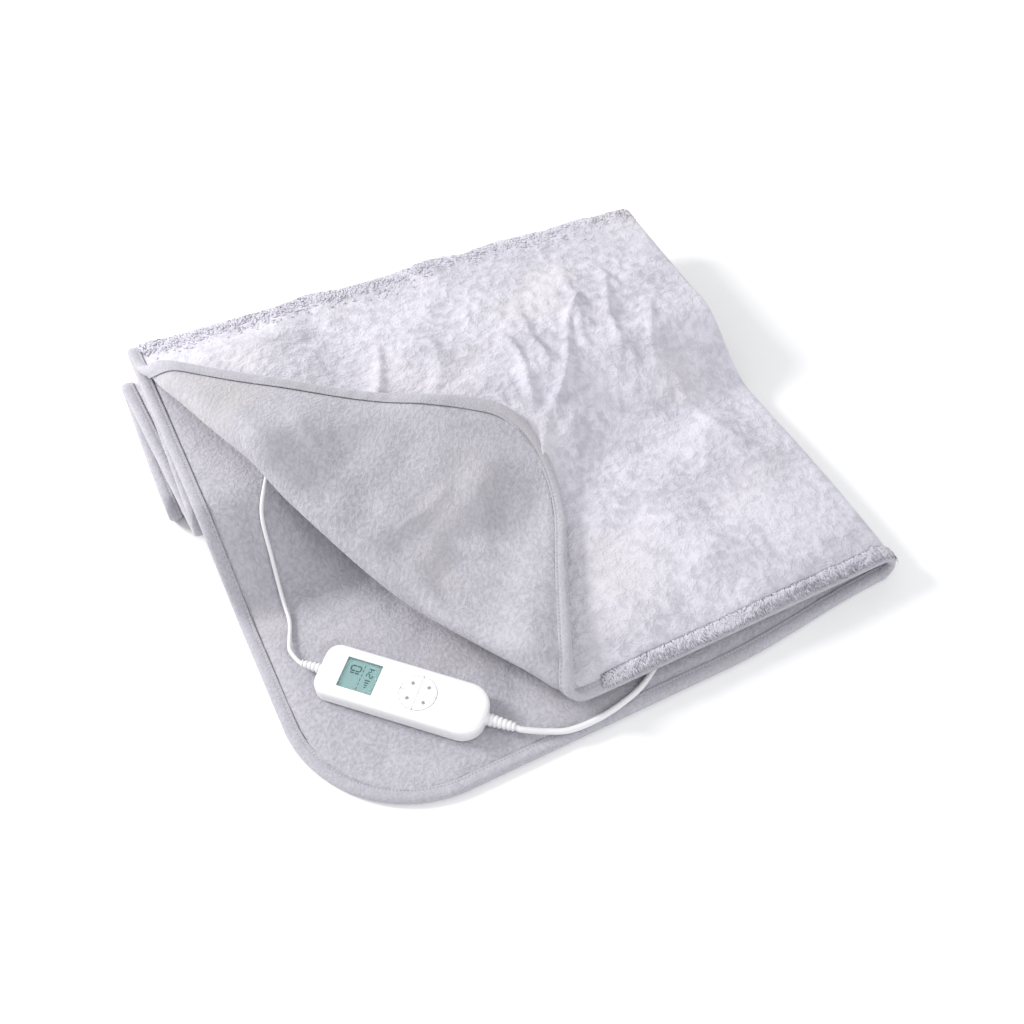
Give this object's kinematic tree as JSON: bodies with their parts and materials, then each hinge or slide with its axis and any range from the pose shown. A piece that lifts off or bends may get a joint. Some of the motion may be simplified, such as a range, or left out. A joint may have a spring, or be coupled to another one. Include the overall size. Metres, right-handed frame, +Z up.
{
  "type": "heated throw",
  "caption": "Folded electric heated throw of plush fleece with a turned-back corner, bound edges and a corded hand controller with display and keys.",
  "frame": {"origin": "on the floor, in the middle of the folded throw's box", "axes": "+X across the folded throw, from its open left side to its folded right side; +Y from the open front, where the controller lies, to the folded pile at the back; +Z up"},
  "size_m": [0.6361, 0.5752, 0.1381],
  "materials": {
    "plush": "long-pile coral fleece, pale grey-lavender, crushed in soft patches",
    "lining": "short-nap fleece, pale grey-lavender",
    "binding": "smooth brushed tape, stitched down on both faces",
    "wire": "insulated heating wire",
    "shell": "moulded white plastic, softly glossy",
    "cord": "white cord jacket and moulded sleeves",
    "screen": "clear window over a teal display",
    "key": "satin white keys",
    "board": "green circuit board",
    "black": "black moulded parts",
    "brass": "plated contacts",
    "steel": "zinc-plated steel",
    "amber": "film capacitor case"
  },
  "bodies": {
    "throw": {"plush_cover": "plush", "soft_lining": "lining", "edge_binding": "binding", "heating_wire": "wire", "socket_flange": "shell", "blanket_socket": "shell", "socket_pin_1": "brass", "socket_pin_2": "brass", "lead_cord": "cord", "mains_cord": "cord", "mains_coil": "cord", "mains_tail": "cord", "mains_plug": "cord", "mains_plug_relief": "cord", "plug_pin_1": "brass", "plug_pin_2": "brass", "controller_top_cover": "shell", "controller_bottom_cover": "shell", "case_screw_1": "steel", "case_screw_2": "steel", "case_screw_3": "steel", "case_screw_4": "steel", "lcd_window": "screen", "lcd_glass": "screen", "lcd_backlight": "key", "circuit_board": "board", "fuse": "steel", "capacitor": "amber", "triac": "black", "switch_up": "black", "switch_down": "black", "switch_left": "black", "switch_right": "black", "lead_strain_relief": "cord", "mains_strain_relief": "cord", "lead_cord_anchor": "shell", "mains_cord_anchor": "shell"},
    "up_key": {"key_up": "key"},
    "down_key": {"key_down": "key"},
    "left_key": {"key_left": "key"},
    "right_key": {"key_right": "key"},
    "lead_connector": {"lead_plug": "shell", "plug_contact_1": "brass", "plug_contact_2": "brass", "lead_plug_relief": "cord"}
  },
  "joints": [
    {"name": "key_up_press", "type": "slide", "parent": "throw", "child": "up_key", "axis": [0, 0, -1], "range_m": [0, 0.0005], "stiffness_N_per_m": 800, "springref_m": -0.0005},
    {"name": "key_down_press", "type": "slide", "parent": "throw", "child": "down_key", "axis": [0, 0, -1], "range_m": [0, 0.0005], "stiffness_N_per_m": 800, "springref_m": -0.0005},
    {"name": "key_left_press", "type": "slide", "parent": "throw", "child": "left_key", "axis": [0, 0, -1], "range_m": [0, 0.0005], "stiffness_N_per_m": 800, "springref_m": -0.0005},
    {"name": "key_right_press", "type": "slide", "parent": "throw", "child": "right_key", "axis": [0, 0, -1], "range_m": [0, 0.0005], "stiffness_N_per_m": 800, "springref_m": -0.0005},
    {"name": "connector_release", "type": "slide", "parent": "throw", "child": "lead_connector", "axis": [-0.4067, -0.9135, 0], "range_m": [0, 0.012], "deforming": ["lead_cord"]}
  ]
}
